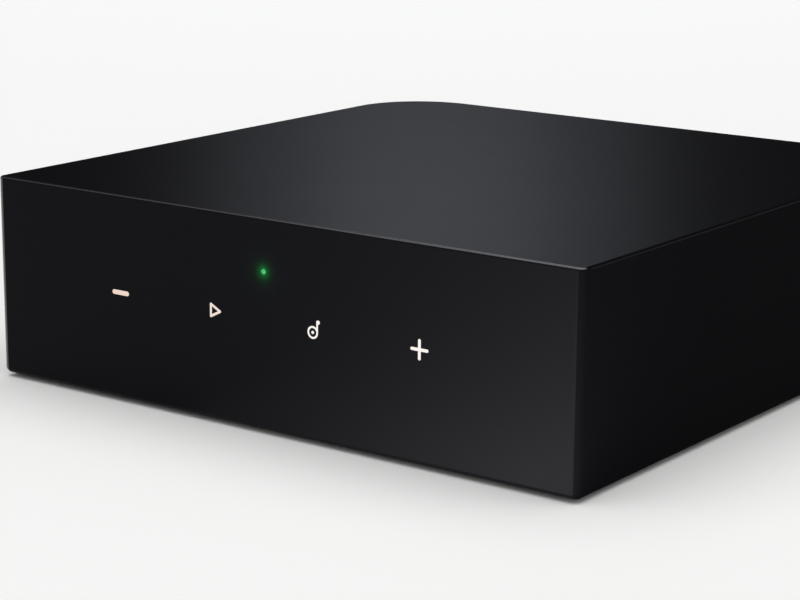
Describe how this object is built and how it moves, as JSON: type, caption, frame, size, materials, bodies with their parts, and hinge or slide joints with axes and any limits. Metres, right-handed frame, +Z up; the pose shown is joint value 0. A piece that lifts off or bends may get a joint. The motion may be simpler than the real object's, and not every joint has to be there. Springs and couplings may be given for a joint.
{
  "type": "network music streamer",
  "caption": "Low square black music streamer with touch icons and a status light on its flat front, rounded rear corners and a rear bank of audio, network and power sockets.",
  "frame": {"origin": "middle of the foot pad's underside, which is the middle of the case in plan, on the table", "axes": "+X to the right as seen from the front, +Y to the rear, +Z up"},
  "size_m": [0.14, 0.1471, 0.042],
  "materials": {
    "case_plastic": "fine matte texture",
    "front_plastic": "smooth satin",
    "base_plastic": "moulded matte",
    "pad_rubber": "matte silicone",
    "screw_steel": "zinc plated",
    "adhesive": "foam sheet",
    "board": "solder mask",
    "module_board": "solder mask",
    "copper": "bare copper",
    "chip": "moulded epoxy",
    "lamp": "green lamp",
    "clear_pipe": "clear acrylic",
    "socket_ivory": "moulded nylon",
    "ribbon": "flat flexible cable",
    "sheet_steel": "tinned sheet",
    "thermal": "silicone pad",
    "sink": "extruded",
    "antenna": "flexible film",
    "gold": "gold plated",
    "lead": "cable jacket",
    "ferrite": "ferrite",
    "can": "capacitor can",
    "connector": "moulded nylon",
    "nickel": "nickel plated",
    "insert_white": "moulded",
    "insert_red": "moulded",
    "insert_orange": "moulded",
    "shutter": "moulded",
    "lens": "tinted lens",
    "lan_lamp": "lamp window",
    "button": "moulded"
  },
  "bodies": {
    "case": {"upper_shell": "case_plastic", "front_panel": "front_plastic", "base_tray": "base_plastic", "foot_pad": "pad_rubber", "case_screws": "screw_steel", "rear_panel": "base_plastic", "touch_adhesive": "adhesive", "touch_board": "board", "touch_pads": "copper", "touch_chip": "chip", "status_led": "lamp", "light_pipe": "clear_pipe", "touch_socket": "socket_ivory", "touch_ribbon": "ribbon", "board_socket": "socket_ivory", "main_board": "board", "board_screws": "screw_steel", "wireless_module": "module_board", "module_can": "sheet_steel", "thermal_pad": "thermal", "heat_sink": "sink", "antenna_left": "antenna", "antenna_right": "antenna", "antenna_plugs": "gold", "antenna_leads": "lead", "dac_chip": "chip", "adc_chip": "chip", "power_chip": "chip", "power_coils": "ferrite", "filter_capacitors": "can", "clock_crystals": "sheet_steel", "line_in_block": "connector", "line_out_block": "connector", "coax_block": "connector", "rca_sleeves": "nickel", "rca_inserts_white": "insert_white", "rca_inserts_red": "insert_red", "rca_insert_coax": "insert_orange", "rca_contacts": "gold", "optical_in_socket": "connector", "optical_out_socket": "connector", "optical_lenses": "lens", "lan_shield": "sheet_steel", "lan_core": "connector", "lan_contacts": "gold", "lan_lamps": "lan_lamp", "usb_shell": "sheet_steel", "usb_tongue": "connector", "trigger_jack": "connector", "trigger_ring": "nickel", "reset_switch": "connector"},
    "reset_button": {"reset_button": "button"},
    "optical_in_shutter": {"optical_in_shutter": "shutter"},
    "optical_out_shutter": {"optical_out_shutter": "shutter"}
  },
  "joints": [
    {"name": "reset_press", "type": "slide", "parent": "case", "child": "reset_button", "axis": [0, -1, 0], "range_m": [0, 0.0005], "stiffness_N_per_m": 3000},
    {"name": "optical_in_flap", "type": "hinge", "parent": "case", "child": "optical_in_shutter", "pos_m": [-0.04487, 0.06615, 0.0172], "axis": [-1, 0, 0], "range_deg": [0, 90], "stiffness_Nm_per_rad": 0.0003, "springref_deg": -20.05},
    {"name": "optical_out_flap", "type": "hinge", "parent": "case", "child": "optical_out_shutter", "pos_m": [-0.00197, 0.06615, 0.0172], "axis": [-1, 0, 0], "range_deg": [0, 90], "stiffness_Nm_per_rad": 0.0003, "springref_deg": -20.05}
  ]
}
